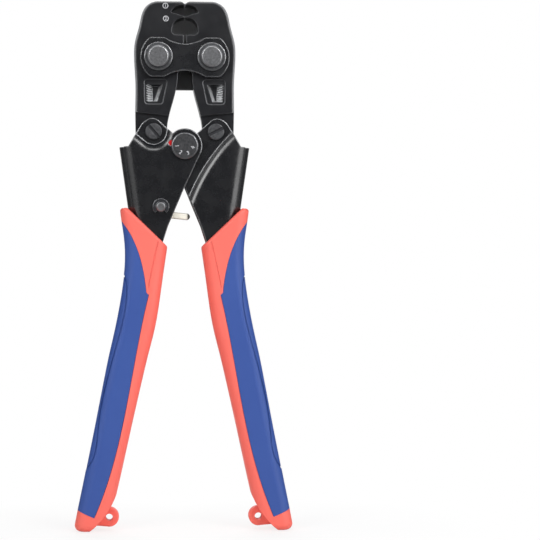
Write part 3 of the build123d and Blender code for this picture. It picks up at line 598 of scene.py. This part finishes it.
# %% [markdown]
# Both circled numbers sit on the left jaw's front face and ride on that jaw. A ring and a digit are two
# pieces, because each is one plain outline.

# %% Circled numbers on the jaw
jaw_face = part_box("left_jaw")[0].y
ring_radius, ring_width = 1.8 * mm, 0.4 * mm
jaw_digit = 2.0 * mm
for digit, x, z in (("1", -0.01256, 0.3375), ("2", -0.01230, 0.3292)):
    etch("jaw_ring_" + digit, ring(ring_radius, ring_width), "left_jaw", x, jaw_face, z)
    etch("jaw_number_" + digit, numeral(digit, jaw_digit), "left_jaw", x, jaw_face, z)

# %% [markdown]
# The dial's four numbers stand round its lower half with their heads to the middle, and turn with the dial.

# %% Numbers on the dial
dial_low, dial_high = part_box("adjusting_dial")
dial_middle = (dial_low + dial_high) / 2
dial_digit = 2.5 * mm
number_circle = 5.3 * mm
first_number, between_numbers = 184, 54
for step in range(4):
    angle = radians(first_number + between_numbers * step)
    x = dial_middle.x + number_circle * cos(angle)
    z = dial_middle.z + number_circle * sin(angle)
    turn = pi / 2 - angle + pi
    etch(f"dial_number_{step + 1}", numeral(str(step + 1), dial_digit), "dial", x, dial_low.y, z, turn)

# %% [markdown]
# ## Studio
# The tool stands on a white table in front of a white wall. The camera sees the room simply as white.
# Reflections see it as a real studio: white behind the tool, dim in front of it, and with a dark flag at
# either side behind, so the black faces stay black, the folded sides are dark, and only bends and edges
# catch the soft boxes. One function gives that brightness to the world, where a place is a direction, and
# to the table, where it is in metres.

# %% White room
dim_front, dark_flag = 0.078, 0.11
front_ends, back_begins = -0.28, 0.32
flags_begin, flags_full = 0.0, 0.25
room_fill = 0.23


def mirrored_room(tree, place, inner, outer):
    """Brightness that reflections see. The flags darken from the inner to the outer distance aside."""
    part = add(tree, "SeparateXYZ", inputs={"Vector": place})
    aside = add(tree, "Math", {"operation": "ABSOLUTE"}, {0: part.outputs["X"]})
    beside = add(tree, "MapRange", inputs={"Value": aside.outputs[0], "From Min": inner, "From Max": outer})
    behind = add(tree, "MapRange",
                 inputs={"Value": part.outputs["Y"], "From Min": flags_begin, "From Max": flags_full})
    flag = add(tree, "Math", {"operation": "MULTIPLY"},
               {0: beside.outputs["Result"], 1: behind.outputs["Result"]})
    depth = add(tree, "MapRange", inputs={"Value": part.outputs["Y"], "From Min": front_ends,
                                          "From Max": back_begins, "To Min": dim_front, "To Max": 1.0})
    light = add(tree, "MapRange", inputs={"Value": flag.outputs[0], "To Min": depth.outputs["Result"],
                                          "To Max": dark_flag})
    return light.outputs["Result"]


room = bpy.data.worlds.new("white_room")
bpy.context.scene.world = room
room.use_nodes = True
room.node_tree.nodes.clear()
tree = room.node_tree
rays = add(tree, "LightPath")
mirror_rays = add(tree, "Math", {"operation": "MAXIMUM"},
                  {0: rays.outputs["Is Glossy Ray"], 1: rays.outputs["Is Transmission Ray"]})
heading = add(tree, "TexCoord").outputs["Generated"]
fill = add(tree, "Background", inputs={"Color": paint("#FFFFFF"), "Strength": room_fill})
mirror = add(tree, "Background", inputs={
    "Color": paint("#FFFFFF"), "Strength": mirrored_room(tree, heading, inner=0.3, outer=0.5)})
white = add(tree, "Background", inputs={"Color": paint("#FFFFFF"), "Strength": 1.0})
lit = add(tree, "MixShader", inputs={0: mirror_rays.outputs[0], 1: fill.outputs[0], 2: mirror.outputs[0]})
shown = add(tree, "MixShader",
            inputs={0: rays.outputs["Is Camera Ray"], 1: lit.outputs[0], 2: white.outputs[0]})
add(tree, "OutputWorld", inputs={"Surface": shown.outputs[0]})
print("world:", room.name)

# %% [markdown]
# The table is white laminate. To the camera it is white light, so that it melts into the wall, except near
# the tool's two feet: there a share of the real matt surface shows, and with it the soft shadow that sets
# the tool down. Reflections see it as they see the room.

# %% White table
reach = 12.0
table_gap = 0.3 * mm
foot_inset = 6.0 * mm
shade_near, shade_far, shade_white = 0.02, 0.14, 0.8
table_mesh = bpy.data.meshes.new("table_top")
table_mesh.from_pydata([(-reach, -reach, 0), (reach, -reach, 0), (reach, reach, 0), (-reach, reach, 0)], [],
                       [(0, 1, 2, 3)])
table = bpy.data.objects.new("table_top", table_mesh)
table.location.z = -table_gap
bpy.context.scene.collection.objects.link(table)
laminate, tree = start_finish("white_laminate", "#FFFFFF")
rays = add(tree, "LightPath")
place = add(tree, "NewGeometry").outputs["Position"]
foot = (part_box("right_grip_core")[1].x - foot_inset, 0.0, 0.0)
either_side = add(tree, "VectorMath", {"operation": "ABSOLUTE"}, {0: place})
from_foot = add(tree, "VectorMath", {"operation": "DISTANCE"}, {0: either_side.outputs["Vector"], 1: foot})
whiteness = add(tree, "MapRange", inputs={"Value": from_foot.outputs["Value"], "From Min": shade_near,
                                          "From Max": shade_far, "To Min": shade_white, "To Max": 1.0})
matt = add(tree, "BsdfDiffuse", inputs={"Color": paint("#F4F4F4")})
white = add(tree, "Emission", inputs={"Color": paint("#FFFFFF"), "Strength": 1.0})
mirror = add(tree, "Emission", inputs={
    "Color": paint("#FFFFFF"), "Strength": mirrored_room(tree, place, inner=0.08, outer=0.2)})
share = add(tree, "Math", {"operation": "MULTIPLY"},
            {0: rays.outputs["Is Camera Ray"], 1: whiteness.outputs["Result"]})
seen = add(tree, "MixShader", inputs={0: share.outputs[0], 1: matt.outputs[0], 2: white.outputs[0]})
top = add(tree, "MixShader",
          inputs={0: rays.outputs["Is Glossy Ray"], 1: seen.outputs[0], 2: mirror.outputs[0]})
add(tree, "OutputMaterial", inputs={"Surface": top.outputs[0]})
table_mesh.materials.append(laminate)
print("table:", table.name)

# %% [markdown]
# Soft boxes are area lamps. Their size sets how wide a highlight is, and their power how bright. Each one is
# aimed at the middle of the tool. The right one is wide and strong, and gives the right handle its broad
# highlight along the bend. The left one only lifts the left bend. The three upper ones shine on the curved
# steps in the two handles, and the one at the back lights the tool for the views from behind.

# %% Soft boxes
aim = Vector((0.0, 0.0, 0.17))
# Name, place, width and height in metres, and power in watts
soft_boxes = (
    ("right_box", (1.05, -0.72, 0.32), 0.9, 1.05, 6.3),
    ("left_box", (-0.97, -0.80, 0.25), 0.85, 0.9, 1.35),
    ("upper_left_box", (-0.72, -0.88, 0.77), 0.5, 0.65, 5.0),
    ("upper_right_box", (0.62, -0.89, 0.88), 0.45, 0.55, 5.3),
    ("upper_middle_box", (0.0, -0.95, 1.05), 0.5, 0.4, 2.2),
    ("back_box", (0.0, 1.0, 1.05), 1.0, 0.6, 9.0),
)
for name, place, width, height, power in soft_boxes:
    lamp = bpy.data.lights.new(name, "AREA")
    lamp.shape = "RECTANGLE"
    lamp.size = width
    lamp.size_y = height
    lamp.energy = power
    box = bpy.data.objects.new(name, lamp)
    box.location = place
    box.rotation_euler = (aim - Vector(place)).to_track_quat("-Z", "Y").to_euler()
    bpy.context.scene.collection.objects.link(box)
    print(name, "at", place)

# %% [markdown]
# The camera looks level at the tool's front from 1.1 m away, a few degrees from the left. From there a long
# lens fills the frame, and the straight tool stays straight. The lens follows from the width of the frame
# at the tool.

# %% Camera
centre_of_view = Vector((0.0549, -0.010, 0.1676))
distance = 1.1
swing = radians(4.3)
roll = radians(0.1)
frame_width = 0.3477
sensor_width_mm = 36
lens = bpy.data.cameras.new("camera")
lens.sensor_width = sensor_width_mm
lens.lens = sensor_width_mm * distance / frame_width
camera = bpy.data.objects.new("camera", lens)
camera.location = centre_of_view - distance * Vector((sin(swing), cos(swing), 0.0))
camera.rotation_euler = (pi / 2, -roll, -swing)
bpy.context.scene.collection.objects.link(camera)
bpy.context.scene.camera = camera
bpy.context.scene.view_settings.view_transform = "Standard"
print("camera with a lens of", round(lens.lens, 1), "mm")
